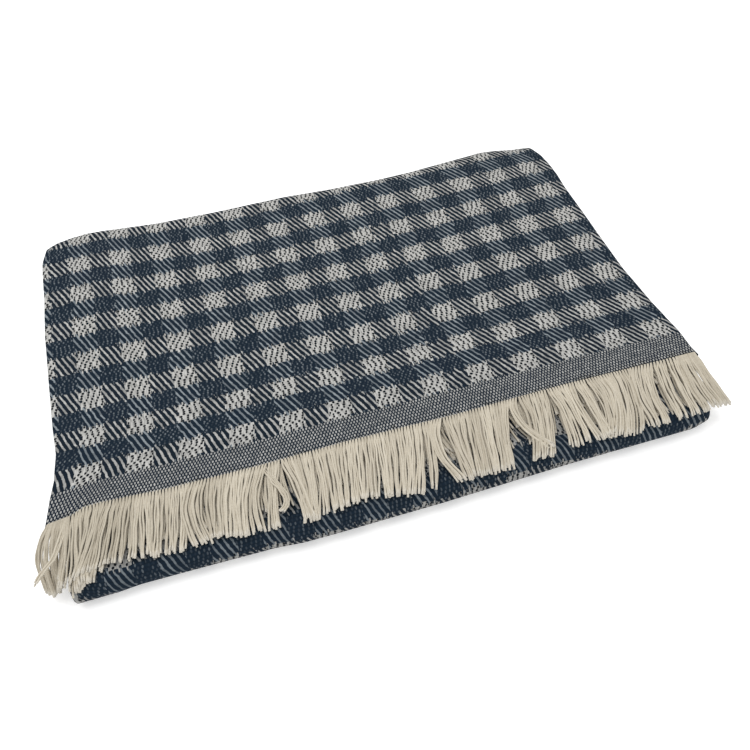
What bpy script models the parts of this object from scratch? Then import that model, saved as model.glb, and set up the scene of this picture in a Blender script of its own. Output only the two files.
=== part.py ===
"""A woven throw blanket in a small check, folded to a flat pad with its fringed end on top.

The throw is folded in three along its length, with both side thirds turned under the middle one. The strip of three
layers is then folded over and over across its length, so that its far end lies hidden in the middle. Its near end lies
on top, one check behind the front fold, and its yarn fringe drapes over that fold.

X runs to the right along the fringe, Y to the back fold, Z up. The pad lies on Z = 0, centred over the origin.
"""

import math

import bmesh
import bpy
import numpy as np

# Sizes in metres. Places along and across the pad are in checks, counted from a light block near its middle.
CHECK = 0.0325  # a light and a dark block of the cloth's check, side by side
CLOTH_THICK = 0.0012
LAYER_PITCH = 0.0016  # from one layer to the next
PASS_PITCH = 3 * LAYER_PITCH  # a pass is the three layers of the strip
PANEL_LEFT = -5.88 * CHECK
PANEL_RIGHT = 7.40 * CHECK
BACK_FOLD_Y = 3.34 * CHECK
FRONT_FOLD_Y = -6.45 * CHECK
FAR_END_Y = 0.8 * CHECK
FOLD_SLACK = 0.003  # how far an inner fold stops short of the one around it
FLAP_SHORT = 0.012  # how far a turned-under third stops short of the other side
FLAP_SKEW = 0.06  # how far a turned-under third slips back, for each metre from its fold
CORNER_DROOP = 0.00006  # the pad rests on its four corners, which lie this much below its middle

TOP_CELLS = 10  # facets along the pass on top, and across the panel
TOP_ACROSS = 9

BACKING_GAP = 0.0003
BACKING_DEPTH = 0.003
LOCK_LENGTH = 0.041
LOCK_THICK = 0.0011
LOCK_TAPER = 0.62  # a lock's width past its root, against its share of the edge
LOCKS_ON_TOP = 76
LOCKS_ON_A_FLAP = 38

# Where the sides of the pass on top lie, in checks.
TOP_SIDES = (
    # y, left, right
    (3.40, -5.78, 7.26),
    (2.60, -5.88, 7.38),
    (0.00, -5.84, 7.43),
    (-2.70, -5.79, 7.42),
    (-4.00, -5.69, 7.38),
    (-5.10, -5.90, 7.42),
)
# The same for the passes under it.
LOWER_SIDES = (
    # y, left, right
    (3.40, -5.92, 7.28),
    (2.00, -5.90, 7.30),
    (-6.50, -5.53, 7.12),
)
# Where the cloth bulges past those sides.
SIDE_BULGES = (
    # y, further left and further right, on the last 1.4 checks before the side
    (3.40, 0.00, 0.07),
    (3.00, -0.03, 0.18),
    (2.70, 0.00, 0.22),
    (2.17, 0.00, 0.24),
    (1.68, -0.015, 0.215),
    (1.20, -0.03, 0.155),
    (0.74, -0.02, 0.13),
    (0.00, -0.01, 0.10),
    (-1.46, -0.04, 0.055),
    (-2.20, -0.06, 0.03),
    (-2.70, -0.075, 0.05),
    (-3.40, -0.075, 0.09),
    (-3.93, 0.01, 0.15),
    (-4.40, 0.02, 0.18),
    (-4.90, 0.00, 0.15),
    (-5.20, 0.00, 0.18),
    (-6.20, 0.00, 0.05),
)
# How much further back than BACK_FOLD_Y the back fold lies, in checks.
BACK_BOW = (
    # x, further back
    (-5.90, 0.09),
    (-4.40, 0.16),
    (-2.00, 0.15),
    (2.00, 0.09),
    (7.40, 0.00),
)
BACK_BULGE = (
    # x, further back still, from 1.5 checks to the fold
    (-5.90, -0.06),
    (-5.70, 0.11),
    (-5.50, 0.22),
    (-5.15, 0.30),
    (-4.80, 0.34),
    (-4.40, 0.30),
    (-3.70, 0.22),
    (-3.00, 0.14),
    (-1.50, 0.10),
    (0.40, 0.14),
    (1.60, 0.065),
    (3.00, 0.05),
    (4.00, 0.10),
    (4.85, 0.19),
    (5.70, 0.27),
    (6.10, 0.32),
    (6.50, 0.26),
    (6.95, 0.14),
    (7.40, 0.08),
)
# How much further forward than FRONT_FOLD_Y the front roll lies.
FRONT_BULGE = (
    # x, further forward, on the front roll
    (-5.60, 0.01),
    (-4.80, 0.01),
    (-4.40, -0.02),
    (-3.30, 0.00),
    (-1.90, 0.035),
    (-1.37, 0.09),
    (-0.80, 0.10),
    (1.40, 0.10),
    (4.10, 0.05),
    (6.80, 0.06),
    (7.20, -0.04),
)
# The woven edge that carries the fringe, in checks.
FRINGE_EDGE = (
    # x, y
    (-5.88, -5.05),
    (-5.42, -4.99),
    (-5.20, -4.88),
    (-4.90, -4.87),
    (-3.70, -4.965),
    (-2.00, -5.02),
    (-0.10, -5.02),
    (2.10, -5.09),
    (4.50, -5.07),
    (7.40, -5.12),
)
EDGE_Y = -4.96 * CHECK  # the straight line that it keeps near starts here at its left end
EDGE_SLANT = -0.015

# Broad swells of the whole pad and lifts of the pass on top, as soft mounds: the middle of each in checks, how far it
# spreads, and its height as a share of the pad's.
SWELLS = (
    # x, y, spread x, spread y, share of height
    (3.4, -4.6, 5.5, 3.0, 0.06),
    (-5.0, 0.0, 4.0, 5.0, 0.04),
)
LIFTS = (
    # x, y, spread x, spread y, share of height
    (-6.2, 1.4, 1.9, 2.3, 0.12),
    (7.6, 1.6, 2.2, 2.4, 0.11),
    (2.0, 3.6, 5.5, 1.2, 0.05),
    (2.0, -3.9, 4.5, 1.6, 0.06),
)

# How the fringe lies: the place along the edge in checks, how far its tips lean to the right, how much longer than
# usual it is, and how far its tips hang below the curve of the front fold.
FRINGE_LIE = (
    # x, lean, longer, drop
    (-6.00, -0.0080, 0.0010, 0.0090),
    (-5.50, -0.0050, 0.0015, 0.0000),
    (-4.60, 0.0010, 0.0010, 0.0000),
    (-2.50, -0.0010, 0.0010, 0.0000),
    (0.00, 0.0000, 0.0000, 0.0000),
    (2.50, 0.0020, 0.0000, 0.0000),
    (5.20, 0.0050, 0.0010, 0.0000),
    (7.05, 0.0130, 0.0010, 0.0000),
    (7.50, 0.0180, 0.0000, 0.0060),
)


def clear_scene():
    """Take away whatever the file opened with."""
    for item in list(bpy.data.objects):
        bpy.data.objects.remove(item, do_unlink=True)


def finish_of(name, colour, roughness):
    """A plain, dull finish for cloth or yarn."""
    material = bpy.data.materials.new(name)
    material.use_nodes = True
    shader = material.node_tree.nodes["Principled BSDF"]
    shader.inputs["Base Color"].default_value = (*colour, 1.0)
    shader.inputs["Roughness"].default_value = roughness
    shader.inputs["Metallic"].default_value = 0.0
    return material


def smooth(value):
    """Soft step from 0 to 1."""
    t = np.clip(value, 0.0, 1.0)
    return t * t * (3 - 2 * t)


def read_table(table, column, at):
    """Value of a table's column at a place given by its first column, whichever way the table runs."""
    rows = np.array(sorted(table))
    return np.interp(at, rows[:, 0], rows[:, column])


def mounds(table, x, y):
    """Sum of a table's soft mounds at a place."""
    total = 0.0
    for middle_x, middle_y, wide, deep, height in table:
        total += height * math.exp(-(((x / CHECK - middle_x) / wide) ** 2) - ((y / CHECK - middle_y) / deep) ** 2)
    return total


def flat_run(from_y, to_y, height, up, cells, on_top=0.0):
    """Stations of a flat pass after its first: y, z, the outward direction, and how much it belongs to the top."""
    return [(from_y + (to_y - from_y) * k / cells, height, 0.0, up, on_top) for k in range(1, cells + 1)]


def fold(middle_y, middle_z, radius, start, turn, cells, leaves_top=False):
    """Stations round a fold after its first, in the same columns."""
    rows = []
    for k in range(1, cells + 1):
        a = math.radians(start + turn * k / cells)
        on_top = float(smooth(1 - 1.4 * k / cells)) if leaves_top else 0.0
        rows.append((middle_y + radius * math.cos(a), middle_z + radius * math.sin(a), math.cos(a), math.sin(a), on_top))
    return rows


def folded_path():
    """The middle line of the strip seen from its side, from the near end on top to the far end inside."""
    h = PASS_PITCH
    edge = EDGE_Y
    back = BACK_FOLD_Y - 2.5 * h
    front = FRONT_FOLD_Y + 2.0 * h
    inner_back = back - FOLD_SLACK
    inner_front = front + FOLD_SLACK
    rows = [(edge, 4.5 * h, 0.0, 1.0, 1.0)]
    rows += flat_run(edge, back, 4.5 * h, 1.0, TOP_CELLS, on_top=1.0)
    rows += fold(back, 2.5 * h, 2.0 * h, 90, -180, 8, leaves_top=True)
    rows += flat_run(back, front, 0.5 * h, -1.0, 4)
    rows += fold(front, 2.0 * h, 1.5 * h, -90, -180, 8)
    rows += flat_run(front, inner_back, 3.5 * h, 1.0, 6)
    rows += fold(inner_back, 2.5 * h, 1.0 * h, 90, -180, 5)
    rows += flat_run(inner_back, inner_front, 1.5 * h, -1.0, 3)
    rows += fold(inner_front, 2.0 * h, 0.5 * h, -90, -180, 4)
    rows += flat_run(inner_front, FAR_END_Y, 2.5 * h, 1.0, 3)
    return rows


def strip_section(top_cells, flap_cells, left_cells, right_cells):
    """The strip seen from its end: x, height over its middle layer, and the distance from a flap's fold."""
    r_left = LAYER_PITCH / 2
    r_right = LAYER_PITCH
    left, right = PANEL_LEFT + r_left, PANEL_RIGHT - r_right
    whole = right - left
    if flap_cells == top_cells:
        flap = np.minimum(np.linspace(0, whole, flap_cells + 1), whole - FLAP_SHORT)
    else:
        flap = np.linspace(0, whole - FLAP_SHORT, flap_cells + 1)
    rows = [(left + away, 0.0, away) for away in flap[::-1]]
    for k in range(1, left_cells):
        a = math.radians(-90 - 180 * k / left_cells)
        rows.append((left + r_left * math.cos(a), r_left + r_left * math.sin(a), 0.0))
    rows += [(x, LAYER_PITCH, 0.0) for x in np.linspace(left, right, top_cells + 1)]
    for k in range(1, right_cells):
        a = math.radians(90 - 180 * k / right_cells)
        rows.append((right + r_right * math.cos(a), r_right * math.sin(a), 0.0))
    rows += [(right - away, -LAYER_PITCH, away) for away in flap]
    return rows


def lay(x, lift, station):
    """Where a point of the strip comes to lie, with the pad's uneven sides and swells."""
    y, z, out_y, out_z, on_top = station
    y += lift * out_y
    z += lift * out_z - (LAYER_PITCH - CLOTH_THICK) / 2
    share = (x - PANEL_LEFT) / (PANEL_RIGHT - PANEL_LEFT)
    sides = []
    for column in (1, 2):
        upper = read_table(TOP_SIDES, column, station[0] / CHECK)
        lower = read_table(LOWER_SIDES, column, station[0] / CHECK)
        sides.append(CHECK * (lower + (upper - lower) * on_top))
    left, right = side_shares(x)
    x = sides[0] + (sides[1] - sides[0]) * share
    x -= CHECK * float(read_table(SIDE_BULGES, 1, station[0] / CHECK)) * left
    x += CHECK * float(read_table(SIDE_BULGES, 2, station[0] / CHECK)) * right
    above = z - CLOTH_THICK / 2
    z += above * mounds(SWELLS, x, y) + 5 * PASS_PITCH * on_top * mounds(LIFTS, x, y)
    along = (2 * y - BACK_FOLD_Y - FRONT_FOLD_Y) / (BACK_FOLD_Y - FRONT_FOLD_Y)
    z -= CORNER_DROOP * ((2 * share - 1) * along) ** 4
    back = float(read_table(BACK_BOW, 1, x / CHECK) * smooth(y / BACK_FOLD_Y))
    back += float(read_table(BACK_BULGE, 1, x / CHECK) * smooth((y / CHECK - 1.5) / (BACK_FOLD_Y / CHECK - 1.5)))
    front = float(read_table(FRONT_BULGE, 1, x / CHECK) * smooth((-5.2 - y / CHECK) / 1.25))
    return x, y + CHECK * (back - front), z


def side_shares(x):
    """How much a point near the left or the right side takes part in its bulge."""
    return float(smooth((-4.5 - x / CHECK) / 1.4)), float(smooth((x / CHECK - 6.0) / 1.4))


def edge_skew(x):
    """The slant of the fringed edge: it lies further forward towards the right."""
    return EDGE_SLANT * (x - PANEL_LEFT)


def edge_wave(x):
    """How far the fringed edge strays from its straight line, with straight chords between the cloth's facets."""
    spots = np.linspace(PANEL_LEFT + LAYER_PITCH / 2, PANEL_RIGHT - LAYER_PITCH, TOP_ACROSS + 1)
    strays = read_table(FRINGE_EDGE, 1, spots / CHECK) * CHECK - EDGE_Y - edge_skew(spots)
    return float(np.interp(x, spots, strays))


def grid_place(vert, across, along):
    """Column and row of a point of an even grid."""
    return round((vert.co.x + 1) / 2 * across), round((vert.co.y + 1) / 2 * along)


def thicken(comb, name, thickness, material, collection):
    """Make an object of an open surface and give it an even thickness, half on each side."""
    mesh = bpy.data.meshes.new(name)
    comb.to_mesh(mesh)
    comb.free()
    mesh.shade_smooth()
    mesh.materials.append(material)
    item = bpy.data.objects.new(name, mesh)
    collection.objects.link(item)
    shell = item.modifiers.new("thickness", "SOLIDIFY")
    shell.thickness = thickness
    shell.offset = 0.0
    return item


def build_cloth(material, collection):
    """The cloth: an even grid laid along the folds, then given its thickness."""
    section = strip_section(TOP_ACROSS, TOP_ACROSS, 4, 5)
    path = folded_path()
    across, along = len(section) - 1, len(path) - 1
    grid = bmesh.new()
    bmesh.ops.create_grid(grid, x_segments=across, y_segments=along, size=1.0)
    for vert in grid.verts:
        i, j = grid_place(vert, across, along)
        x, lift, away = section[i]
        y, *rest = path[j]
        if j < TOP_CELLS:
            y += (edge_skew(x) + FLAP_SKEW * away) * (1 - j / TOP_CELLS)
            y += edge_wave(x) * float(smooth(1 - (path[j][0] - EDGE_Y) / CHECK))
        vert.co = lay(x, lift, (y, *rest))
    return thicken(grid, "folded_cloth", CLOTH_THICK, material, collection)


def fringe_point(x, lift, away, beyond, lean=0.0, drop=0.0):
    """A point of the fringe, so far beyond the cloth's edge along its drape: level, then round the front fold."""
    h = PASS_PITCH
    front = FRONT_FOLD_Y + 2.0 * h
    start = EDGE_Y + edge_skew(x) + edge_wave(x) + FLAP_SKEW * away
    level = start - front
    turn = math.pi / 2 + max(beyond - level, 0.0) / (2.5 * h + lift)
    out_y, out_z = math.cos(turn), math.sin(turn)
    y = start - beyond if beyond < level else front + 2.5 * h * out_y
    x, y, z = lay(x, lift, (y, 2.0 * h + 2.5 * h * out_z, out_y, out_z, 1.0))
    far = beyond / LOCK_LENGTH
    return x + lean * far**1.5, y, z - drop * far**2


def build_fringe(material, collection):
    """The fringe: a narrow backing along the cloth's folded edge, with one lock drawn out of each of its cells."""
    rng = np.random.default_rng(11)
    section = strip_section(LOCKS_ON_TOP, LOCKS_ON_A_FLAP, 2, 2)
    across = len(section) - 1
    comb = bmesh.new()
    bmesh.ops.create_grid(comb, x_segments=across, y_segments=1, size=1.0)
    columns = {vert: grid_place(vert, across, 1) for vert in comb.verts}
    cells = {}
    for edge in comb.edges:
        ends = sorted(edge.verts, key=lambda vert: columns[vert][0])
        if all(columns[vert][1] == 0 for vert in ends):
            cells[columns[ends[0]][0]] = (edge, ends)
    for vert, (i, row) in columns.items():
        x, lift, away = section[i]
        vert.co = fringe_point(x, lift, away, BACKING_GAP + BACKING_DEPTH * (1 - row))
    for column, (edge, ends) in sorted(cells.items()):
        first, last = np.array(section[column]), np.array(section[column + 1])
        middle, half = (first + last) / 2, (last - first) / 2
        if half[1] != 0:  # the backing turns a fold here, with no lock
            continue
        lean, longer, drop = (float(read_table(FRINGE_LIE, k, middle[0] / CHECK)) for k in (1, 2, 3))
        drop *= 1.0 if middle[1] > 0 else 1.6  # a turned-under third hangs clear of the lock over it
        lean += rng.uniform(-0.0009, 0.0009)
        reach = LOCK_LENGTH + longer + rng.uniform(-0.0025, 0.0015)
        level = EDGE_Y + edge_skew(middle[0]) + edge_wave(middle[0]) + FLAP_SKEW * middle[2]
        level -= FRONT_FOLD_Y + 2 * PASS_PITCH
        root = BACKING_GAP + BACKING_DEPTH
        bends = level if root < level < reach else (root + reach) / 2
        for beyond in ((root + bends) / 2, bends, (bends + reach) / 2, reach):
            grown = bmesh.ops.extrude_edge_only(comb, edges=[edge])["geom"]
            edge = next(item for item in grown if isinstance(item, bmesh.types.BMEdge))
            loose = [item for item in grown if isinstance(item, bmesh.types.BMVert)]
            ends = [min(loose, key=lambda vert, old=old: (vert.co - old.co).length) for old in ends]
            spots = [fringe_point(*(middle + side * LOCK_TAPER * half), beyond, lean, drop) for side in (-1, 1)]
            for vert, spot in zip(ends, spots):
                vert.co = spot
    return thicken(comb, "yarn_fringe", LOCK_THICK, material, collection)


def centre(pieces):
    """Bring the middle of the pad's outline over the origin, with its flat underside on Z = 0."""
    bpy.context.view_layer.update()
    graph = bpy.context.evaluated_depsgraph_get()
    corners = []
    for piece in pieces:
        solid = piece.evaluated_get(graph)
        corners += [np.array(vert.co) for vert in solid.to_mesh().vertices]
        solid.to_mesh_clear()
    low, high = np.min(corners, axis=0), np.max(corners, axis=0)
    shift = -np.array([(low[0] + high[0]) / 2, (low[1] + high[1]) / 2, low[2]])
    print("moved by", shift)
    for piece in pieces:
        for vert in piece.data.vertices:
            vert.co = np.array(vert.co) + shift


def main():
    clear_scene()
    collection = bpy.data.collections.new("folded_throw_blanket")
    bpy.context.scene.collection.children.link(collection)
    cloth = build_cloth(finish_of("woven cloth", (0.045, 0.060, 0.095), 0.92), collection)
    fringe = build_fringe(finish_of("fringe yarn", (0.62, 0.56, 0.45), 0.90), collection)
    centre([cloth, fringe])


main()
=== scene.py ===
# %% [markdown]
# # A folded woven throw, from its weave to its fringe
#
# The throw is one length of cloth in a small navy and cream check. It is folded in three along its
# length, then over and over across it, and it lies as a flat pad with its fringed end on top. This lesson
# builds it as two pieces: the cloth, which is one thin sheet that runs through every fold, and the
# fringe, which is more than a thousand loose yarns.
#
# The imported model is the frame. It fixes where the throw lies and how big it is, so it is loaded first.

import bpy
import numpy as np
from mathutils import Matrix


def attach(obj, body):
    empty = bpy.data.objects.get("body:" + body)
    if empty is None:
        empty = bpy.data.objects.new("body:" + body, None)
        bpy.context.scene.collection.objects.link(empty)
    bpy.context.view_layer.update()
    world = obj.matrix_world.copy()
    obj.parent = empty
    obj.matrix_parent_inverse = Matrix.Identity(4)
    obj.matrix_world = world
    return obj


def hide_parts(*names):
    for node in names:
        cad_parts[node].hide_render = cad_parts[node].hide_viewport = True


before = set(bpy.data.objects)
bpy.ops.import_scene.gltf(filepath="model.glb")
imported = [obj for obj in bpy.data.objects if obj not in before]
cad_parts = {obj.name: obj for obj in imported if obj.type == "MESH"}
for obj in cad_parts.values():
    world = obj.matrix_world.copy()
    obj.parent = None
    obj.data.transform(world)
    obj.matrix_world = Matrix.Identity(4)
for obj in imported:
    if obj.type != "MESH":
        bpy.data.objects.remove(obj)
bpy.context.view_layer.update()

# %% [markdown]
# ## Sizes
#
# Places on the pad are given in checks, counted from a light block near the middle: x to the right
# along the fringe, y to the back fold. They are the sizes that the solids were built from, so the fine
# pieces lie where the plain ones do.

# %% Driving sizes, in metres
CHECK = 0.0325  # a light and a dark block, side by side
CLOTH_THICK = 0.0012
LAYER_PITCH = 0.0016  # from one layer to the next
PASS_PITCH = 3 * LAYER_PITCH  # a pass is the three layers of the strip
PANEL_LEFT = -5.88 * CHECK
PANEL_RIGHT = 7.40 * CHECK
BACK_FOLD_Y = 3.34 * CHECK
FRONT_FOLD_Y = -6.45 * CHECK
FAR_END_Y = 0.8 * CHECK
FOLD_SLACK = 0.003
FLAP_SHORT = 0.012
FLAP_SKEW = 0.06
WEAVE_ORIGIN = np.array([-0.02902, 0.04468, 0.00003])  # where the middle light block lies in the frame

# %% Where the sides, the back fold and the fringed edge lie, in checks
TOP_SIDES = (
    # y, left, right
    (3.40, -5.78, 7.26),
    (2.60, -5.88, 7.38),
    (0.00, -5.84, 7.43),
    (-2.70, -5.79, 7.42),
    (-4.00, -5.69, 7.38),
    (-5.10, -5.90, 7.42),
)
LOWER_SIDES = (
    # y, left, right
    (3.40, -5.92, 7.28),
    (2.00, -5.90, 7.30),
    (-6.50, -5.53, 7.12),
)
SIDE_BULGES = (
    # y, further left and further right, on the last 1.4 checks before the side
    (3.40, 0.00, 0.07),
    (3.00, -0.03, 0.18),
    (2.70, 0.00, 0.22),
    (2.17, 0.00, 0.24),
    (1.68, -0.015, 0.215),
    (1.20, -0.03, 0.155),
    (0.74, -0.02, 0.13),
    (0.00, -0.01, 0.10),
    (-1.46, -0.04, 0.055),
    (-2.20, -0.06, 0.03),
    (-2.70, -0.075, 0.05),
    (-3.40, -0.075, 0.09),
    (-3.93, 0.01, 0.15),
    (-4.40, 0.02, 0.18),
    (-4.90, 0.00, 0.15),
    (-5.20, 0.00, 0.18),
    (-6.20, 0.00, 0.05),
)
BACK_BOW = (
    # x, further back
    (-5.90, 0.09),
    (-4.40, 0.16),
    (-2.00, 0.15),
    (2.00, 0.09),
    (7.40, 0.00),
)
BACK_BULGE = (
    # x, further back still, from 1.5 checks to the fold
    (-5.90, -0.06),
    (-5.70, 0.11),
    (-5.50, 0.22),
    (-5.15, 0.30),
    (-4.80, 0.34),
    (-4.40, 0.30),
    (-3.70, 0.22),
    (-3.00, 0.14),
    (-1.50, 0.10),
    (0.40, 0.14),
    (1.60, 0.065),
    (3.00, 0.05),
    (4.00, 0.10),
    (4.85, 0.19),
    (5.70, 0.27),
    (6.10, 0.32),
    (6.50, 0.26),
    (6.95, 0.14),
    (7.40, 0.08),
)
FRONT_BULGE = (
    # x, further forward, on the front roll
    (-5.60, 0.01),
    (-4.80, 0.01),
    (-4.40, -0.02),
    (-3.30, 0.00),
    (-1.90, 0.035),
    (-1.37, 0.09),
    (-0.80, 0.10),
    (1.40, 0.10),
    (4.10, 0.05),
    (6.80, 0.06),
    (7.20, -0.04),
)
FRINGE_EDGE = (
    # x, y
    (-5.88, -5.05),
    (-5.42, -4.99),
    (-5.20, -4.88),
    (-4.90, -4.87),
    (-3.70, -4.965),
    (-2.00, -5.02),
    (-0.10, -5.02),
    (2.10, -5.09),
    (4.50, -5.07),
    (7.40, -5.12),
)
EDGE_Y = -4.96 * CHECK
EDGE_SLANT = -0.015  # along the straight line that the fringed edge keeps near
BACK_FROM = 1.5  # checks from which the back bulge grows, up to the back fold
FRONT_FROM = -5.2  # checks from which the front bulge grows
FRONT_OVER = 1.25  # checks that it takes to grow
LEFT_FROM = -4.5  # checks from which the left bulge grows
RIGHT_FROM = 6.0
SIDE_OVER = 1.4

# %% Soft mounds: x, y, spread x, spread y in checks, and height as a share of the pad's
SWELLS = (
    (3.4, -4.6, 5.5, 3.0, 0.06),
    (-5.0, 0.0, 4.0, 5.0, 0.04),
)
LIFTS = (
    (-6.2, 1.4, 1.9, 2.3, 0.12),
    (7.6, 1.6, 2.2, 2.4, 0.11),
    (2.0, 3.6, 5.5, 1.2, 0.05),
    (2.0, -3.9, 4.5, 1.6, 0.06),
)


# %% Helpers for numbers along and over the cloth
def smooth(value):
    """Soft step: 0 up to 0, then 3t^2 - 2t^3, then 1 from 1 on."""
    t = np.clip(value, 0.0, 1.0)
    return t * t * (3 - 2 * t)


def read_table(table, column, at):
    """Straight lines between a table's rows, in order of the first column."""
    rows = np.array(sorted(table))
    return np.interp(at, rows[:, 0], rows[:, column])


def mounds(table, x, y):
    """Sum of bells: height times e to the minus squared distance over spread, for each row."""
    total = 0.0
    for middle_x, middle_y, wide, deep, height in table:
        across = ((x / CHECK - middle_x) / wide) ** 2
        along = ((y / CHECK - middle_y) / deep) ** 2
        total = total + height * np.exp(-across - along)
    return total


def edge_skew(x):
    """The slant of the fringed edge: it lies further forward towards the right."""
    return EDGE_SLANT * (x - PANEL_LEFT)


def edge_wave(x):
    """How far the fringed edge strays from its straight line."""
    return read_table(FRINGE_EDGE, 1, x / CHECK) * CHECK - EDGE_Y - edge_skew(x)


def back_share(y):
    """How much a point near the back fold takes part in its bulge."""
    return smooth((y / CHECK - BACK_FROM) / (BACK_FOLD_Y / CHECK - BACK_FROM))


def side_shares(x):
    """How much a point near the left or the right side takes part in its bulge."""
    return smooth((LEFT_FROM - x / CHECK) / SIDE_OVER), smooth((x / CHECK - RIGHT_FROM) / SIDE_OVER)


# %% [markdown]
# ## The folds, seen from the side
#
# A folded cloth is easiest to draw in two steps. Seen from the side, the strip follows one line that goes
# back on top, round the back fold, forward beneath, round the front roll and into the middle, twice
# round. Seen from its end, the strip is three layers joined by two small turns. Each point of the cloth
# is then a point of the second drawing, carried along the first. A cloth simulation could fold a sheet
# too, but not to a given outline.


# %% The middle line of the strip
def flat_run(from_y, to_y, height, up, cells, on_top=0.0):
    """Stations of a level pass: y goes evenly from end to end; the outward direction is up or down."""
    y = np.linspace(from_y, to_y, cells + 1)[1:]
    one = np.ones(cells)
    return np.column_stack([y, height * one, 0 * one, up * one, on_top * one])


def fold(middle_y, middle_z, radius, start, turn, cells, leaves_top=False):
    """Stations round a fold: the middle plus the radius times (cos, sin) of an angle that turns evenly."""
    share = np.arange(1, cells + 1) / cells
    angle = np.radians(start + turn * share)
    on_top = smooth(1 - 1.4 * share) if leaves_top else np.zeros(cells)
    out_y, out_z = np.cos(angle), np.sin(angle)
    return np.column_stack([middle_y + radius * out_y, middle_z + radius * out_z, out_y, out_z, on_top])


def folded_path():
    """Stations from the near end on top to the far end inside: y, z, outward y and z, share of the top."""
    h = PASS_PITCH
    back = BACK_FOLD_Y - 2.5 * h
    front = FRONT_FOLD_Y + 2.0 * h
    inner_back = back - FOLD_SLACK
    inner_front = front + FOLD_SLACK
    return np.vstack(
        [
            [[EDGE_Y, 4.5 * h, 0.0, 1.0, 1.0]],
            flat_run(EDGE_Y, back, 4.5 * h, 1.0, TOP_CELLS, on_top=1.0),
            fold(back, 2.5 * h, 2.0 * h, 90, -180, 20, leaves_top=True),
            flat_run(back, front, 0.5 * h, -1.0, 30),
            fold(front, 2.0 * h, 1.5 * h, -90, -180, 20),
            flat_run(front, inner_back, 3.5 * h, 1.0, 36),
            fold(inner_back, 2.5 * h, 1.0 * h, 90, -180, 8),
            flat_run(inner_back, inner_front, 1.5 * h, -1.0, 12),
            fold(inner_front, 2.0 * h, 0.5 * h, -90, -180, 6),
            flat_run(inner_front, FAR_END_Y, 2.5 * h, 1.0, 8),
        ]
    )


TOP_CELLS = 96
path = folded_path()
print("stations along the strip", len(path))


# %% The strip, seen from its end
def strip_section(top_cells, flap_cells, left_cells, right_cells):
    """Points of the three layers: x, height over the middle, distance from the flap's fold, place across."""
    r_left = LAYER_PITCH / 2
    r_right = LAYER_PITCH
    left, right = PANEL_LEFT + r_left, PANEL_RIGHT - r_right
    flap = np.linspace(0, right - left - FLAP_SHORT, flap_cells + 1)
    turn = np.pi * np.arange(1, left_cells) / left_cells
    bent_x, height = left - r_left * np.sin(turn), r_left - r_left * np.cos(turn)
    round_left = np.column_stack([bent_x, height, 0 * turn, left - r_left * (np.pi - turn)])
    turn = np.pi * np.arange(1, right_cells) / right_cells
    round_right = np.column_stack(
        [right + r_right * np.sin(turn), r_right * np.cos(turn), 0 * turn, right + r_right * turn]
    )
    level = np.linspace(left, right, top_cells + 1)
    one = np.ones(top_cells + 1)
    return np.vstack(
        [
            np.column_stack([left + flap, 0 * flap, flap, left - np.pi * r_left - flap])[::-1],
            round_left,
            np.column_stack([level, LAYER_PITCH * one, 0 * one, level]),
            round_right,
            np.column_stack([right - flap, 0 * flap - LAYER_PITCH, flap, right + np.pi * r_right + flap]),
        ]
    )


section = strip_section(144, 14, 6, 8)
print("points across the strip", len(section))


# %% Where a point of the strip comes to lie
def lay(x, lift, y, station):
    """The station moved outwards by the lift, x stretched between the uneven sides, plus mounds and bulges.

    Swells grow with the height over the lowest layer, so that the underside stays flat. Lifts raise the top.
    """
    _, z, out_y, out_z, on_top = (station[..., k] for k in range(5))
    along = y
    y = y + lift * out_y
    z = z + lift * out_z - (LAYER_PITCH - CLOTH_THICK) / 2
    share = (x - PANEL_LEFT) / (PANEL_RIGHT - PANEL_LEFT)
    sides = []
    for column in (1, 2):
        upper = read_table(TOP_SIDES, column, along / CHECK)
        lower = read_table(LOWER_SIDES, column, along / CHECK)
        sides.append(CHECK * (lower + (upper - lower) * on_top))
    near_left, near_right = side_shares(x)
    x = sides[0] + (sides[1] - sides[0]) * share
    x = x - CHECK * read_table(SIDE_BULGES, 1, along / CHECK) * near_left
    x = x + CHECK * read_table(SIDE_BULGES, 2, along / CHECK) * near_right
    above = z - CLOTH_THICK / 2
    z = z + above * mounds(SWELLS, x, y) + 5 * PASS_PITCH * on_top * mounds(LIFTS, x, y)
    back = read_table(BACK_BOW, 1, x / CHECK) * smooth(y / BACK_FOLD_Y)
    back = back + read_table(BACK_BULGE, 1, x / CHECK) * back_share(y)
    front = read_table(FRONT_BULGE, 1, x / CHECK) * smooth((FRONT_FROM - y / CHECK) / FRONT_OVER)
    y = y + CHECK * (back - front)
    return np.stack([x, y, z], axis=-1) + WEAVE_ORIGIN


# %% [markdown]
# ## The cloth
#
# The sheet is a grid, fine on the side that shows and coarse on the two thirds that are turned under.
# Each point keeps its place in the weave as a UV, counted in checks: U across the cloth, V along it. The
# weave then follows the cloth round every fold without a seam. Solidify gives the sheet its thickness
# afterwards, and closes its edges.


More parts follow.
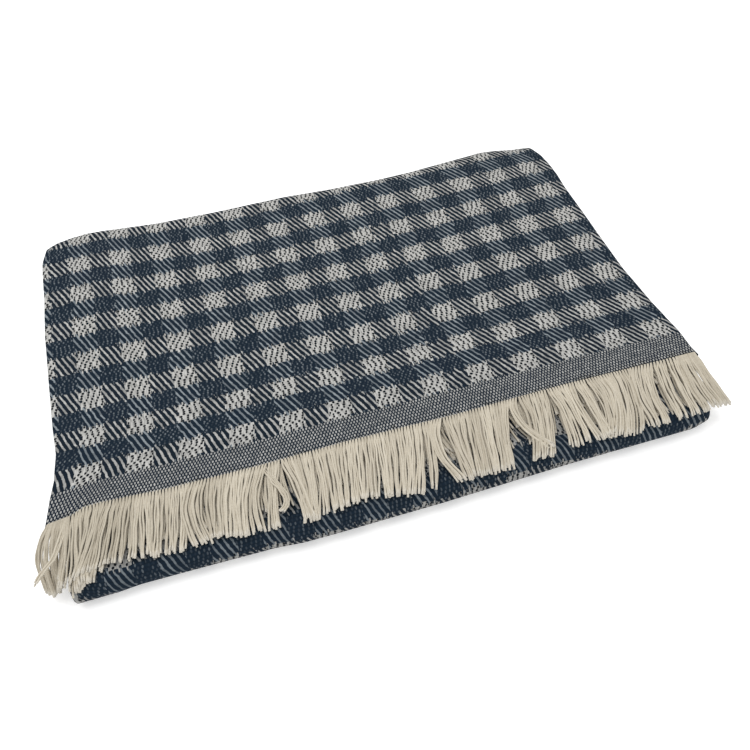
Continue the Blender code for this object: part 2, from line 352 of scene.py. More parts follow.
# %% Make a mesh from a grid of points
def mesh_of_grid(name, points, uv):
    """A sheet of squares between neighbouring points, with the UV of each corner."""
    rows, columns = points.shape[:2]
    index = np.arange(rows * columns).reshape(rows, columns)
    faces = np.stack([index[:-1, :-1], index[:-1, 1:], index[1:, 1:], index[1:, :-1]], axis=-1).reshape(-1, 4)
    mesh = bpy.data.meshes.new(name)
    mesh.vertices.add(rows * columns)
    mesh.vertices.foreach_set("co", points.reshape(-1).astype(np.float32))
    mesh.loops.add(faces.size)
    mesh.loops.foreach_set("vertex_index", faces.reshape(-1).astype(np.int32))
    mesh.polygons.add(len(faces))
    mesh.polygons.foreach_set("loop_start", np.arange(0, faces.size, 4, dtype=np.int32))
    mesh.update(calc_edges=True)
    layer = mesh.uv_layers.new(name="weave")
    layer.data.foreach_set("uv", uv.reshape(-1, 2)[faces.reshape(-1)].reshape(-1).astype(np.float32))
    mesh.shade_smooth()
    return mesh


ROW_LENGTH = 1.0795 * CHECK
ROLL_SHIFT = 0.5
FLARE_FROM = 2.2  # the row from which the cloth fans out to its fringed edge
FLARE_TO = 4.2
FLARE_ALONG = 0.26  # rows gained at the edge
FLARE_ACROSS = 0.034  # columns lost at the edge, for each column from the middle
FLARE_MIDDLE = 2.8  # the column that stays in place

# Where the weave lies a little out of true on top: column, row, spread across and along, and by how much.
SKEW_ALONG = (
    (-1.0, -2.4, 2.4, 1.5, -0.19),
    (-4.7, -1.2, 1.0, 2.2, 0.12),
    (6.5, 0.5, 3.2, 3.5, 0.12),
)
SKEW_ACROSS = (
    (3.0, 1.5, 2.5, 2.0, 0.06),
    (5.8, -2.5, 1.5, 1.2, -0.13),
)


def weave_place(u, v, on_top):
    """U and V with the small skews of the cloth on top: soft bells, and a fan towards the fringed edge."""
    fan = smooth((v - FLARE_FROM) / (FLARE_TO - FLARE_FROM))
    across = mounds(SKEW_ACROSS, u * CHECK, v * CHECK) - FLARE_ACROSS * (u - FLARE_MIDDLE) * fan
    along = mounds(SKEW_ALONG, u * CHECK, v * CHECK) + FLARE_ALONG * fan
    return np.stack([u + across * on_top, v + along * on_top], axis=-1)


def weave_rows(stations):
    """V of each station: the length along the outer layer since the weave's middle, in rows of the check."""
    outer = stations[:, :2] + LAYER_PITCH * stations[:, 2:4]
    steps = np.hypot(*np.diff(outer, axis=0).T)
    run = np.concatenate([[0.0], np.cumsum(steps)])
    under = smooth((run - run[TOP_CELLS + 20]) / (run[TOP_CELLS + 50] - run[TOP_CELLS + 20]))
    return -(run + EDGE_Y) / ROW_LENGTH + ROLL_SHIFT * under


def bulge_rows(x, y, across):
    """How far U and V run on where the cloth bulges, so that the check keeps its place beside the bulge."""
    near_right = side_shares(x)[1]
    turned_under = across > PANEL_RIGHT
    right = read_table(SIDE_BULGES, 2, y / CHECK) * np.where(turned_under, 2 - near_right, near_right)
    reached = np.maximum.accumulate(back_share(path[:, 0]))[:, None]
    return right, -read_table(BACK_BULGE, 1, x / CHECK) * reached * CHECK / ROW_LENGTH


def build_cloth():
    """Each section point at each station, the near end slanted and waved as the fringed edge is."""
    near = np.clip(1 - np.arange(len(path)) / TOP_CELLS, 0, None)[:, None]
    fade = smooth(1 - (path[:, :1] - EDGE_Y) / CHECK) * (near > 0)
    x, lift, away, across = (section[None, :, k] for k in range(4))
    y = path[:, None, 0] + (edge_skew(x) + FLAP_SKEW * away) * near + edge_wave(x) * fade
    points = lay(x + 0 * y, lift + 0 * y, y, path[:, None, :] + 0 * y[..., None])
    more_u, more_v = bulge_rows(x, y, across)
    uv = weave_place(across / CHECK + more_u, weave_rows(path)[:, None] + more_v, path[:, None, 4])
    mesh = mesh_of_grid("folded_throw", points[:, ::-1], uv[:, ::-1])
    item = bpy.data.objects.new("folded_throw", mesh)
    bpy.context.scene.collection.objects.link(item)
    shell = item.modifiers.new("thickness", "SOLIDIFY")
    shell.thickness = CLOTH_THICK
    shell.offset = 0.0
    return item


cloth = build_cloth()
print("cloth squares", len(cloth.data.polygons))

# %% [markdown]
# ## The fringe
#
# The warp yarns run out past the woven edge and lie over the front roll. They don't hang one by one: they
# gather in bunches that lean and bend together, cross each other and part at their tips. So the fringe is
# a table of bunches that were read off, and each yarn follows its bunch with a little of its own. Each yarn
# is a tube of six sides on top and five beneath. Hair curves would be lighter, but these yarns have to be
# meshes.

# %% The bunches of the top layer
YARN_THICK = 0.0014
FRINGE_LENGTH = 0.0415
BUNCHES = (
    # root x in checks, lean and bend to the right in mm, longer in mm, raised in mm
    (-5.84, -4.5, -5.5, -6, 0.0),
    (-5.76, -4.5, -3.5, -5, 0.4),
    (-5.66, -4.5, -2.0, -5, 0.0),
    (-5.56, -5.0, 0.0, -4, 0.2),
    (-5.44, -5.0, 0.5, -1, 0.3),
    (-5.30, -1.5, 0.0, 5, 0.0),
    (-4.97, -12.0, 2.0, -1, 1.2),
    (-4.76, -10.9, -1.0, -1, 0.4),
    (-4.58, -8.4, 0.0, -1, 0.0),
    (-4.42, -7.6, 0.0, -1, 0.5),
    (-4.22, -5.5, 0.0, -1, 0.0),
    (-3.97, -3.5, 0.0, -1, 0.6),
    (-3.76, -5.3, 0.0, 0, 0.0),
    (-3.55, -5.6, 0.0, 0, 0.3),
    (-3.35, -6.0, 0.0, 0, 0.0),
    (-3.15, -1.5, -4.5, 0, 0.7),
    (-2.98, -2.0, -4.5, -1, 0.2),
    (-2.80, -3.5, -2.5, -3, 0.0),
    (-2.60, -6.5, -1.5, -2, 0.4),
    (-2.40, -8.0, -2.2, -1, 0.0),
    (-2.18, -8.4, -2.4, 0, 0.5),
    (-1.98, -9.8, -3.3, 0, 0.0),
    (-1.80, -8.3, -4.7, 0, 0.3),
    (-1.55, -8.0, -1.6, 0, 0.0),
    (-1.30, 5.0, 1.2, -1, 0.9),
    (-1.10, -3.5, 1.3, 0, 0.0),
    (-0.90, -4.0, 0.0, 1, 0.3),
    (-0.70, -4.3, 1.6, -1, 0.0),
    (-0.50, -4.3, 0.0, -2, 0.5),
    (-0.30, -6.0, -0.2, -3, 0.0),
    (-0.08, -8.3, -0.4, -3, 0.3),
    (0.10, -7.6, -1.1, -3, 0.0),
    (0.30, -8.8, 0.0, -3, 0.4),
    (0.52, -7.6, 0.0, -2, 0.0),
    (0.75, -10.0, 0.0, -1, 0.4),
    (0.95, -11.0, 0.0, 0, 0.0),
    (1.15, -12.8, 0.0, 1, 0.3),
    (1.35, -13.0, 0.0, 1, 0.0),
    (1.55, -9.8, 0.0, 0, 0.2),
    (1.75, 1.0, -6.0, 0, 1.4),
    (2.02, -2.0, -1.7, 0, 0.4),
    (2.30, -7.7, -1.6, 0, 0.0),
    (2.55, -9.0, -1.2, 0, 0.5),
    (2.80, -9.6, -1.4, 1, 0.0),
    (3.03, -11.7, -1.6, 1, 0.3),
    (3.23, -14.0, -3.2, 1, 0.0),
    (3.40, 9.0, -6.5, -4, 1.8),
    (3.58, -9.4, 2.0, 1, 0.0),
    (3.76, -11.5, 0.0, 1, 0.3),
    (3.97, -13.5, 0.0, 1, 0.0),
    (4.20, -3.0, 1.0, 0, 1.2),
    (4.42, -1.5, 0.0, 0, 1.0),
    (4.62, 1.0, -2.0, 0, 0.3),
    (4.83, 0.0, 0.0, 0, 0.6),
    (5.10, -6.0, 2.3, 0, 0.0),
    (5.40, -12.0, 3.0, 0, 0.6),
    (5.65, -13.3, 1.0, 2, 0.0),
    (5.90, -11.5, 0.9, 2, 0.3),
    (6.12, -8.6, -5.0, 1, 0.8),
    (6.36, -10.0, -4.2, 1, 0.2),
    (6.60, -5.0, -3.0, 0, 0.0),
    (6.84, -3.0, -2.5, 0, 0.4),
    (7.02, -0.5, -2.5, 1, 0.0),
    (7.12, 2.0, -2.0, 1, 0.2),
    (7.20, 4.5, -2.0, 1, 0.4),
    (7.26, 6.5, -1.5, 0, 0.0),
    (7.31, 8.0, -1.0, 0, 0.3),
    (7.36, 9.5, -0.5, -1, 0.0),
    (7.42, 11.0, 0.0, -2, 0.3),
)
# Two locks that lie loose on top, as places on the drape: x in checks and mm past the edge.
LOOSE_LOCKS = (
    ((-5.50, 0), (-5.60, 12), (-5.70, 24), (-5.84, 28), (-5.96, 32), (-6.03, 36)),
    ((-1.74, 0), (-1.68, 8), (-1.60, 16), (-1.50, 23), (-1.47, 29), (-1.54, 33), (-1.63, 35)),
)


# %% Tubes along many lines at once
def tubes(lines, radii, sides):
    """Rings round each line: the line plus the radius times a turning mix of two directions across it.

    The first direction across is the tangent's cross product with x, and the second is square to both.
    """
    tangent = np.gradient(lines, axis=1)
    tangent /= np.linalg.norm(tangent, axis=-1, keepdims=True)
    up = np.cross([1.0, 0.0, 0.0], tangent)
    up /= np.linalg.norm(up, axis=-1, keepdims=True)
    side = np.cross(tangent, up)
    angle = 2 * np.pi * np.arange(sides) / sides
    ring = side[..., None, :] * np.cos(angle)[:, None] + up[..., None, :] * np.sin(angle)[:, None]
    return lines[..., None, :] + radii[..., None, None] * ring


def mesh_of_tubes(name, parts):
    """One mesh of many tubes, each a ladder of squares with a flat cap at both ends, its own UV and tone."""
    coords, loops, totals, uvs, tones = [], [], [], [], []
    base = 0
    for rings, tone in parts:
        count, steps, sides = rings.shape[:3]
        index = base + np.arange(count * steps * sides).reshape(count, steps, sides)
        after = np.roll(index, -1, axis=2)
        walls = np.stack([index[:, :-1], after[:, :-1], after[:, 1:], index[:, 1:]], axis=-1).reshape(-1, 4)
        caps = np.concatenate([index[:, 0, ::-1], index[:, -1]])
        along = np.broadcast_to(np.linspace(0, 1, steps)[None, :, None], index.shape)
        around = np.broadcast_to((np.arange(sides) / sides)[None, None, :], index.shape)
        coords.append(rings.reshape(-1, 3))
        uvs.append(np.stack([around, along], axis=-1).reshape(-1, 2))
        tones.append(np.broadcast_to(tone[:, None, None], index.shape).reshape(-1))
        for faces in (walls, caps):
            loops.append(faces.reshape(-1))
            totals.append(np.full(len(faces), faces.shape[1]))
        base += index.size
    corner = np.concatenate(loops)
    total = np.concatenate(totals)
    mesh = bpy.data.meshes.new(name)
    mesh.vertices.add(base)
    mesh.vertices.foreach_set("co", np.concatenate(coords).reshape(-1).astype(np.float32))
    mesh.loops.add(len(corner))
    mesh.loops.foreach_set("vertex_index", corner.astype(np.int32))
    mesh.polygons.add(len(total))
    mesh.polygons.foreach_set("loop_start", (np.cumsum(total) - total).astype(np.int32))
    mesh.update(calc_edges=True)
    layer = mesh.uv_layers.new(name="yarn")
    layer.data.foreach_set("uv", np.concatenate(uvs)[corner].reshape(-1).astype(np.float32))
    shade = mesh.attributes.new("tone", "FLOAT", "POINT")
    shade.data.foreach_set("value", np.concatenate(tones).astype(np.float32))
    mesh.shade_smooth()
    return mesh


# %% How a yarn drapes past the woven edge
def drape(x, lift, away, beyond):
    """A point so far beyond the edge: level as far as the front roll, then round it on a circle."""
    h = PASS_PITCH
    front = FRONT_FOLD_Y + 2.0 * h
    start = EDGE_Y + edge_skew(x) + edge_wave(x) + FLAP_SKEW * away
    level = start - front
    turn = np.pi / 2 + np.maximum(beyond - level, 0.0) / (2.5 * h + lift)
    out_y, out_z = np.cos(turn), np.sin(turn)
    y = np.where(beyond < level, start - beyond, front + 2.5 * h * out_y)
    station = np.stack([y, 2.0 * h + 2.5 * h * out_z, out_y, out_z, np.ones_like(y)], axis=-1)
    return lay(x, lift, y, station)


STEPS = 18
YARNS_ON_TOP = 464
CROWD = 10  # more pairs at each side
CROWD_STEP = 0.003  # from one to the next, as a share of the width
YARNS_ON_A_FLAP = 400
STEPS_BENEATH = 10
SIDES_OF_YARN = 6
SIDES_BENEATH = 5
SHORTER_BENEATH = 0.005
yarn_steps = np.linspace(0, 1, STEPS) ** 1.25  # closer together near the root


def fallen(line, root, at_left, at_right):
    """Let the tips beyond the ends of the front roll fall, but not into the floor."""
    share = at_left * smooth((-5.45 - root / CHECK) / 0.25) + at_right * smooth((root / CHECK - 7.1) / 0.25)
    t = np.linspace(0, 1, line.shape[1])[None, :]
    line[..., 2] = np.maximum(line[..., 2] - share[:, None] * t**2, YARN_THICK * 0.7)
    return line


def top_yarns(rng):
    """Lines of the top layer: each yarn follows its bunch, gathers towards its middle and parts at the tip.

    The yarns leave the cloth in pairs, a little inside its edge, and each wanders by a part of a millimetre.
    More pairs crowd at each side, where the fringe hangs over and fans out.
    """
    left, right = PANEL_LEFT + LAYER_PITCH / 2, PANEL_RIGHT - LAYER_PITCH
    pairs = YARNS_ON_TOP // 2
    count = pairs - 2 * CROWD
    even = (np.arange(count) + 0.5) / count
    crowded = CROWD_STEP * np.arange(1, CROWD + 1)
    spread = np.sort(np.concatenate([even, crowded, 1 - crowded]))
    root = left + (right - left) * np.repeat(spread, 2)
    rows = np.array(BUNCHES)
    bounds = (rows[1:, 0] + rows[:-1, 0]) / 2 * CHECK
    bunch = np.searchsorted(bounds, root)
    lean, bend, longer, raised = (rows[bunch, k] / 1000 for k in (1, 2, 3, 4))
    sides = np.concatenate([[left], bounds, [right]])
    middle, half = (sides[:-1] + sides[1:])[bunch] / 2, (sides[1:] - sides[:-1])[bunch] / 2
    place = (root - middle) / half
    gather = rng.uniform(0.74, 0.92, len(rows))[bunch]
    t = yarn_steps[None, :]
    apart = np.tile([-1.0, 1.0], pairs)[:, None] * (0.13 + 0.12 * smooth(t / 0.12)) * (right - left) / pairs
    close = 1 - (1 - gather)[:, None] * (smooth(t / 0.65) - 0.5 * smooth((t - 0.7) / 0.3))
    x = middle[:, None] + (place * half)[:, None] * close + apart
    x = x + (lean + rng.normal(0, 0.0008, len(root)))[:, None] * t**1.4
    x = x + (bend + rng.normal(0, 0.0005, len(root)))[:, None] * np.sin(np.pi * t)
    x = x + 0.00025 * np.sin(2 * np.pi * (2.2 * t + rng.uniform(0, 1, (len(root), 1)))) * smooth(t / 0.2)
    reach = FRINGE_LENGTH + longer + rng.uniform(-0.0018, 0.0012, len(root))
    line = drape(x, LAYER_PITCH + 0 * x, 0 * x, -0.0018 + (reach[:, None] + 0.0018) * t)
    stack = rng.uniform(-0.0005, 0.0006, len(root))[:, None] * smooth(t / 0.2)
    crown = (1 - place**2)[:, None] * 0.0008 * smooth(t / 0.4)
    sag = 0.0022 * smooth((t - 0.35) / 0.65)
    out_of_cloth = 0.0010 * (1 - smooth((t - 0.03) / 0.05))
    arch = raised[:, None] * np.sin(np.pi * np.clip(t * 0.8, 0, 1))
    line[..., 2] += arch + stack + crown - sag + out_of_cloth
    tone = rng.normal(0, 0.7, len(root)) + rng.normal(0, 0.7, len(rows))[bunch]
    tone = tone - smooth((-3.6 - root / CHECK) / 1.2)
    return fallen(line, root, 0.014, 0.004), tone


def under_yarns(rng, lift, from_left, longer_left):
    """Lines of a third that is turned under: its yarns lean as those on top do, and end a little short.

    Near the left corner they reach further, but not where they hang free beside the roll.
    """
    left, right = PANEL_LEFT + LAYER_PITCH / 2, PANEL_RIGHT - LAYER_PITCH
    away = np.linspace(0.001, right - left - FLAP_SHORT, YARNS_ON_A_FLAP)
    root = left + away if from_left else right - away
    t = np.linspace(0, 1, STEPS_BENEATH)[None, :]
    lean = read_table([row[:2] for row in BUNCHES], 1, root / CHECK) / 1000
    bend = read_table([(row[0], row[2]) for row in BUNCHES], 1, root / CHECK) / 1000
    hanging = smooth((-5.35 - root / CHECK) / 0.15)
    reach = FRINGE_LENGTH - SHORTER_BENEATH
    reach = reach + longer_left * smooth((-4.4 - root / CHECK) / 0.4) * (1 - hanging)
    reach = reach - 0.003 * hanging + rng.uniform(-0.0025, 0.0015, len(root))
    x = root[:, None] + (lean + rng.normal(0, 0.0012, len(root)))[:, None] * t**1.4
    x = x + (bend + rng.normal(0, 0.0008, len(root)))[:, None] * np.sin(np.pi * t)
    line = drape(x, lift + 0 * x, away[:, None] + 0 * x, 0.0004 + (reach[:, None] - 0.0004) * t)
    line[..., 2] += 0.0006 * smooth(t / 0.3) - 0.0014 * smooth(t)
    line[..., 2] += rng.uniform(-0.0004, 0.0004, (len(root), 1)) * t
    # painted shade: the tone of the yarns beneath starts a little darker than on top
    return fallen(line, root, 0.014, 0.005), rng.normal(-0.3, 0.8, len(root))


def loose_yarns(rng, places):
    """Lines of four yarns side by side that follow a lock's places, softened and lifted off the others."""
    spots = np.array(places, float)
    t = yarn_steps[None, :]
    at = np.linspace(0, len(spots) - 1, STEPS)
    x, beyond = (np.interp(at, np.arange(len(spots)), spots[:, k]) for k in (0, 1))
    for _ in range(2):
        x[1:-1] = (x[:-2] + 2 * x[1:-1] + x[2:]) / 4
        beyond[1:-1] = (beyond[:-2] + 2 * beyond[1:-1] + beyond[2:]) / 4
    beside = np.array([-1.5, -0.5, 0.5, 1.5])[:, None] * 0.0011 * (1 - 0.25 * smooth(t))
    x = x[None, :] * CHECK + beside + rng.normal(0, 0.0002, beside.shape)
    beyond = beyond[None, :] / 1000 * rng.uniform(0.93, 1.0, (4, 1))
    line = drape(x, LAYER_PITCH + 0 * x, 0 * x, beyond)
    line[..., 2] += 0.0018 * smooth(t / 0.3) + rng.uniform(-0.0003, 0.0005, (4, 1))
    return fallen(line, x[:, 0], 0.006, 0.0), rng.normal(0.0, 0.8, 4)


def build_fringe():
    """Every yarn of the three layers, thin at its root and blunt at its tip."""
    rng = np.random.default_rng(7)
    parts = []
    thin_root = 0.62 + 0.38 * smooth(yarn_steps[None, :] / 0.08)
    line, tone = top_yarns(rng)
    radius = YARN_THICK / 2 * thin_root * (1 + 0.07 * rng.normal(0, 1, (len(line), 1)))
    parts.append((tubes(line, radius, SIDES_OF_YARN), tone))
    for places in LOOSE_LOCKS:
        line, tone = loose_yarns(rng, places)
        radius = YARN_THICK * 0.45 * thin_root + np.zeros((4, 1))
        parts.append((tubes(line, radius, SIDES_OF_YARN), tone))
    for lift, from_left, longer_left in ((0.0, True, 0.012), (-LAYER_PITCH, False, 0.004)):
        line, tone = under_yarns(rng, lift, from_left, longer_left)
        parts.append((tubes(line, np.full(line.shape[:2], YARN_THICK / 2), SIDES_BENEATH), tone))
    mesh = mesh_of_tubes("loose_yarns", parts)
    item = bpy.data.objects.new("loose_yarns", mesh)
    bpy.context.scene.collection.objects.link(item)
    return item


fringe = build_fringe()
print("fringe faces", len(fringe.data.polygons))

# %% [markdown]
# ## Shader maths
#
# A weave is arithmetic on the two coordinates of the cloth. To keep it readable, one small class wraps a
# node's socket and gives it Python's operators, so that an expression adds its own Math nodes. Another
# adds every other node.


# %% Sockets that add up
class Wire:
    """A socket in a sum. Each operator adds the Math node that it stands for."""

    def __init__(self, graph, socket):
        self.graph = graph
        self.socket = socket

    def math(self, operation, *values, clamp=False):
        inputs = dict(enumerate(values))
        return self.graph.add("ShaderNodeMath", {"operation": operation, "use_clamp": clamp}, inputs)

    def __add__(self, other):
        return self.math("ADD", self, other)

    def __sub__(self, other):
        return self.math("SUBTRACT", self, other)

    def __rsub__(self, other):
        return self.math("SUBTRACT", other, self)

    def __mul__(self, other):
        return self.math("MULTIPLY", self, other)

    def __truediv__(self, other):
        return self.math("DIVIDE", self, other)

    def __lt__(self, other):
        return self.math("LESS_THAN", self, other)

    def __gt__(self, other):
        return self.math("GREATER_THAN", self, other)

    __radd__ = __add__
    __rmul__ = __mul__

    def floor(self):
        return self.math("FLOOR", self)

    def part(self):
        """What is left after the whole number below."""
        return self.math("FRACT", self)

    def wave(self):
        """Sine of the value in whole turns."""
        return self.math("SINE", self * (2 * np.pi))

    def size(self):
        return self.math("ABSOLUTE", self)

    def power(self, exponent):
        return self.math("POWER", self, exponent)

    def held(self):
        """The value kept between 0 and 1."""
        return self.math("ADD", self, 0.0, clamp=True)


class Graph:
    """The nodes of one material."""

    def __init__(self, name):
        self.material = bpy.data.materials.new(name)
        self.material.use_nodes = True
        self.tree = self.material.node_tree
        self.shader = self.tree.nodes["Principled BSDF"]

    def add(self, kind, settings=None, inputs=None, output=0):
        """A node of a kind: its settings first, then the value or wire of each input."""
        node = self.tree.nodes.new(kind)
        for name, value in (settings or {}).items():
            setattr(node, name, value)
        for key, value in (inputs or {}).items():
            self.feed(node.inputs[key], value)
        return Wire(self, node.outputs[output])

    def feed(self, socket, value):
        if isinstance(value, Wire):
            self.tree.links.new(value.socket, socket)
        else:
            socket.default_value = value

    def blend(self, share, first, second):
        """A colour between two colours."""
        inputs = {"Factor": share, 6: first, 7: second}
        return self.add("ShaderNodeMix", {"data_type": "RGBA"}, inputs, output=2)

    def noise(self, vector, scale, detail=2.0):
        inputs = {"Vector": vector, "Scale": scale, "Detail": detail}
        return self.add("ShaderNodeTexNoise", None, inputs)


# %% [markdown]
# ## The weave
#
# The cloth is woven from cream warp ends and navy weft picks, 32 ends and 16 picks to a check. Every
# crossing belongs to a twill that repeats over four ends. Where one is light the twill shows as stripes
# that slant the other way, bright or faint, and where neither is, only a few faint dots are left. Before
# the fringe the check stops, and single dots take its place.
#
# An image of the weave would be quick, but it would blur close to. Here each dot is an ellipse in its
# crossing.

# %% Weave the cloth
ENDS = 32
PICKS = 16
HEADER_ROW = 4.25  # where the check stops and the plain weave starts
HEM_ROW = -EDGE_Y / ROW_LENGTH + FLARE_ALONG - 0.05  # the last millimetre and a half stays dark
ROLL_ROW = -11.6  # from here on, round the front roll, the pattern is painted darker: painted shade on the roll
NAVY = (0.0085, 0.0175, 0.030, 1.0)
# the navy in painted shade, where it sinks between the cream floats and at the edges of the picks
NAVY_SHADED = (0.005, 0.008, 0.011, 1.0)
CREAM = (0.515, 0.51, 0.49, 1.0)
# darker cream, for painted shade between the threads and for random tone
CREAM_SHADE_AND_TONE = (0.24, 0.24, 0.23, 1.0)
FAINT = (0.24, 0.27, 0.29, 1.0)


def weave_finish():
    """The block twill: which yarn lies on top at each crossing, its colour with painted shade between the
    threads and round the front roll, and the relief of both.
    """
    g = Graph("block_twill")
    place = g.add("ShaderNodeUVMap", {"uv_map": "weave"})
    split = g.add("ShaderNodeSeparateXYZ", None, {0: place})
    u, v = split, Wire(g, split.socket.node.outputs[1])
    point = g.add("ShaderNodeTexCoord", None, None, output=3)
    wander = g.noise(point, 260.0, 1.0) - 0.5
    drift = g.noise(point, 90.0, 1.0) - 0.5
    end = u * ENDS + wander * 0.9 + drift * 0.8
    pick = v * PICKS + wander * 0.5 + drift * 0.5
    end_at, pick_at = end.floor(), pick.floor()
    in_end, in_pick = end - end_at - 0.5, pick - pick_at - 0.5

    def chance(first, second):
        """A number from 0 to 1 of its own for each pair of whole numbers."""
        pair = g.add("ShaderNodeCombineXYZ", None, {0: first, 1: second})
        return g.add("ShaderNodeTexWhiteNoise", {"noise_dimensions": "2D"}, {"Vector": pair})

    def light_band(thread, ragged, count):
        """1 on the light half of the check, with an edge that each crossing thread moves a little."""
        return ((((thread + ragged + 0.5) / count + 0.5).part() - 0.5).size()) < 0.25

    def distance(value, period):
        """Ends from the middle of the nearest crossing of a twill that repeats over a period."""
        return ((value / period).part() - 0.5) * period

    def oval(across, wide, high, soft):
        """1 inside an ellipse round a crossing, falling softly to 0 at its rim."""
        inside = 1 - (across / wide).power(2.0) - (in_pick / high).power(2.0)
        return (inside * soft).held()

    light_column = light_band(end_at, (chance(pick_at, 3.0) - 0.5) * 3.0, ENDS)
    light_row = light_band(pick_at, (chance(end_at, 5.0) - 0.5) * 1.6, PICKS)
    light_at = end + pick_at + chance(pick_at, 7.0) * 2.4
    dark_at = end + pick_at + chance(pick_at, 11.0) * 2.4
    own_light = chance((light_at / 4).floor(), pick_at)
    own_dark = chance((dark_at / 3).floor(), pick_at)
    own_stripe = chance(((end - pick) / 4).floor(), (pick / 2).floor())
    in_light, in_dark = distance(light_at + own_light * 0.8, 4), distance(dark_at + own_dark * 0.6, 3)
    falling, single = distance(end - pick + wander * 1.2, 4), distance(end + pick_at, 2)
    both = light_column * light_row
    only_row = (1 - light_column) * light_row
    only_column = light_column * (1 - light_row)
    neither = (1 - light_column) * (1 - light_row)
    header = v > HEADER_ROW
    dark_dots = 1 - oval(in_light, 0.68 + own_light * 0.46, 0.57, 2.2)
    stripe = (1 - (falling / 0.90).power(2.0) - in_pick.power(2.0) * 0.9) * 2.0
    bright_stripes = stripe.held() * (0.52 + own_stripe * 0.40)
    single_dots = oval(single, 0.60, 0.50, 2.2) * (0.52 + own_light * 0.38) * (1 - (v > HEM_ROW))
    # painted shade on the front roll: its cream and faint marks give way to the navy, by up to 35 percent
    roll_shade = 1 - ((ROLL_ROW - v) * 2.0).held() * 0.35
    cream = (both * dark_dots + only_row * bright_stripes) * (1 - header) * roll_shade + header * single_dots
    thin = (1 - (falling / 0.82).power(2.0) - in_pick.power(2.0) * 0.8) * 1.9
    faint_stripes = thin.held() * (0.48 + own_stripe * 0.56)
    few_dots = oval(in_dark, 0.66, 0.52, 2.0) * (own_dark * 0.5 + 0.02)
    faint = (only_column * faint_stripes + neither * few_dots) * (1 - header) * roll_shade
    strands = g.noise(g.add("ShaderNodeCombineXYZ", None, {0: end * 0.9, 1: pick * 0.28}), 1.0, 1.0)
    patches = g.noise(g.add("ShaderNodeCombineXYZ", None, {0: u * 2.0, 1: v * 2.0}), 1.0, 2.0)
    # painted shade on the cream: darker between the ends and between the slanting strands, more in the light
    # blocks. The strand noise adds dark streaks along the ends, and the patch noise adds random tone
    between = (in_end.power(2.0) * 1.8 + (falling / 2).power(4.0) * 0.5) * (0.4 + both * 0.6)
    shade = (between + (strands - 0.42) * 1.8 + (patches - 0.5) * 0.7).held()
    light = g.blend(shade, CREAM, CREAM_SHADE_AND_TONE)
    # painted shade on the navy: darker between the cream floats, most in the light blocks, and towards the
    # edges of each pick
    navy_shading = (both * 0.9 + only_row * 0.3 + in_pick.power(2.0) * 1.6).held()
    dark = g.blend(navy_shading, NAVY, NAVY_SHADED)
    colour = g.blend(cream.held(), g.blend(faint.held(), dark, FAINT), light)
    g.feed(g.shader.inputs["Base Color"], colour)
    g.shader.inputs["Roughness"].default_value = 0.95
    g.shader.inputs["Specular IOR Level"].default_value = 0.10
    rounds = (1 - in_end.power(2.0) * 4) * 0.3 + (1 - in_pick.power(2.0) * 4) * 0.3
    relief = cream * 0.6 + faint * 0.4 + rounds
    bump = g.add("ShaderNodeBump", None, {"Strength": 0.45, "Distance": 0.0004, "Height": relief})
    g.feed(g.shader.inputs["Normal"], bump)
    return g.material


# %% [markdown]
# ## The yarn
#
# Fringe yarn is soft cotton, lightly twisted. Its colour changes a little from yarn to yarn, its twist
# shows as fine slanting ridges, and yarns from the layers beneath are a little darker, painted shade
# under the top layer. A thin soft sheen stands for its fuzz.


# %% Spin the yarn
YARN_SHADE = (0.43, 0.385, 0.305, 1.0)
YARN_LIGHT = (0.65, 0.595, 0.49, 1.0)
YARN_TIP = (0.74, 0.70, 0.62, 1.0)


def yarn_finish():
    """Cream, a tone for each yarn, and slanting ridges from the two coordinates of the tube."""
    g = Graph("spun_yarn")
    place = g.add("ShaderNodeUVMap", {"uv_map": "yarn"})
    split = g.add("ShaderNodeSeparateXYZ", None, {0: place})
    around, along = split, Wire(g, split.socket.node.outputs[1])
    tone = g.add("ShaderNodeAttribute", {"attribute_name": "tone"}, None, output=2)
    ply = (around * 2 + along * 26).wave()
    fuzz = g.noise(g.add("ShaderNodeTexCoord", None, None, output=3), 900.0, 2.0)
    shade = (tone * 0.17 + 0.5 + (fuzz - 0.5) * 0.8).held()
    tip = ((along - 0.93) * 25).held()
    colour = g.blend(shade, YARN_SHADE, YARN_LIGHT)
    g.feed(g.shader.inputs["Base Color"], g.blend(tip * 0.6, colour, YARN_TIP))
    g.shader.inputs["Roughness"].default_value = 0.9
    g.shader.inputs["Specular IOR Level"].default_value = 0.2
    g.shader.inputs["Sheen Weight"].default_value = 0.1
    ridges = ply * 0.3 + fuzz
    bump = g.add("ShaderNodeBump", None, {"Strength": 0.5, "Distance": 0.0002, "Height": ridges})
    g.feed(g.shader.inputs["Normal"], bump)
    return g.material


cloth.data.materials.append(weave_finish())
fringe.data.materials.append(yarn_finish())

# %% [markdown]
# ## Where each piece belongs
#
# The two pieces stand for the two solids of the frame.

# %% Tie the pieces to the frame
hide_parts("folded_cloth")
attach(cloth, "root")
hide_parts("yarn_fringe")
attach(fringe, "root")

# %% [markdown]
# ## Floor, light and camera
#
# The throw lies on a plain white floor under one broad soft light, with an even glow from all round, so
# that its shadows stay faint. The floor glows a little too, as a backlit table does. The camera looks
# down on it from the front, a little to the left.


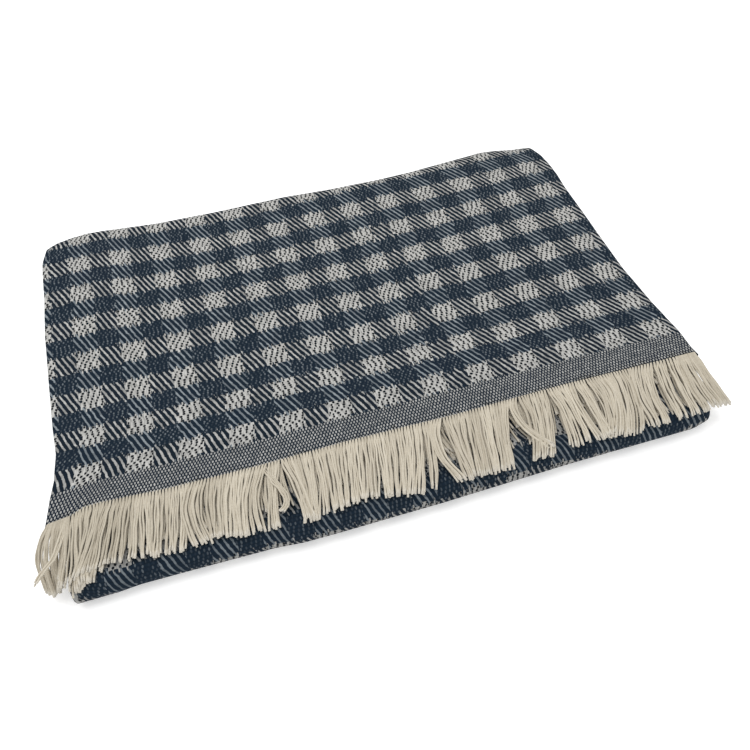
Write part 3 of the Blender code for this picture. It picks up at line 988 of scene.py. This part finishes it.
# %% A plain floor
def build_floor(size):
    """One flat square."""
    mesh = bpy.data.meshes.new("floor")
    corners = np.array([[-1, -1], [1, -1], [1, 1], [-1, 1]]) * size
    mesh.from_pydata([(x, y, 0.0) for x, y in corners], [], [(0, 1, 2, 3)])
    g = Graph("plain_floor")
    g.shader.inputs["Base Color"].default_value = (0.93, 0.93, 0.93, 1.0)
    g.shader.inputs["Roughness"].default_value = 0.9
    g.shader.inputs["Emission Color"].default_value = (1.0, 1.0, 1.0, 1.0)
    g.shader.inputs["Emission Strength"].default_value = 0.35
    mesh.materials.append(g.material)
    item = bpy.data.objects.new("floor", mesh)
    bpy.context.scene.collection.objects.link(item)


build_floor(4.0)


# %% Soft light
def soft_light(name, place, aim, size, power):
    """A square lamp at a place, turned to look at its aim."""
    lamp = bpy.data.lights.new(name, "AREA")
    lamp.size = size
    lamp.energy = power
    item = bpy.data.objects.new(name, lamp)
    bpy.context.scene.collection.objects.link(item)
    back = np.array(place, float) - np.array(aim, float)
    back /= np.linalg.norm(back)
    side = np.cross([0.0, 1.0, 0.0], back)
    side /= np.linalg.norm(side)
    axes = np.column_stack([side, np.cross(back, side), back])
    item.matrix_world = Matrix.Translation(place) @ Matrix(axes.tolist()).to_4x4()


soft_light("window", (-0.25, 0.35, 1.6), (0.0, 0.0, 0.0), 1.6, 17.0)
world = bpy.data.worlds.new("even_glow")
world.use_nodes = True
world.node_tree.nodes["Background"].inputs["Color"].default_value = (1.0, 1.0, 1.0, 1.0)
world.node_tree.nodes["Background"].inputs["Strength"].default_value = 0.75
bpy.context.scene.world = world
bpy.context.scene.view_settings.view_transform = "Standard"

# %% The camera, from where the picture was taken
EYE = WEAVE_ORIGIN + (-0.0474, -0.4342, 0.4114)
TO_THE_RIGHT = (0.957, -0.286, -0.046)
AHEAD = (0.153, 0.631, -0.760)
PICTURE_WIDTH = 750  # pixels
FOCAL_LENGTH = 740  # pixels
SENSOR = 36.0  # millimetres


def build_camera():
    """Axes from the viewing direction and the direction to the right, made square to each other."""
    ahead = np.array(AHEAD) / np.linalg.norm(AHEAD)
    up = np.cross(TO_THE_RIGHT, ahead)
    up /= np.linalg.norm(up)
    right = np.cross(ahead, up)
    lens = bpy.data.cameras.new("camera")
    lens.sensor_width = SENSOR
    lens.lens = SENSOR * FOCAL_LENGTH / PICTURE_WIDTH
    lens.clip_start = 0.01
    item = bpy.data.objects.new("camera", lens)
    bpy.context.scene.collection.objects.link(item)
    axes = np.column_stack([right, up, -ahead])
    item.matrix_world = Matrix.Translation(EYE) @ Matrix(axes.tolist()).to_4x4()
    bpy.context.scene.camera = item


build_camera()
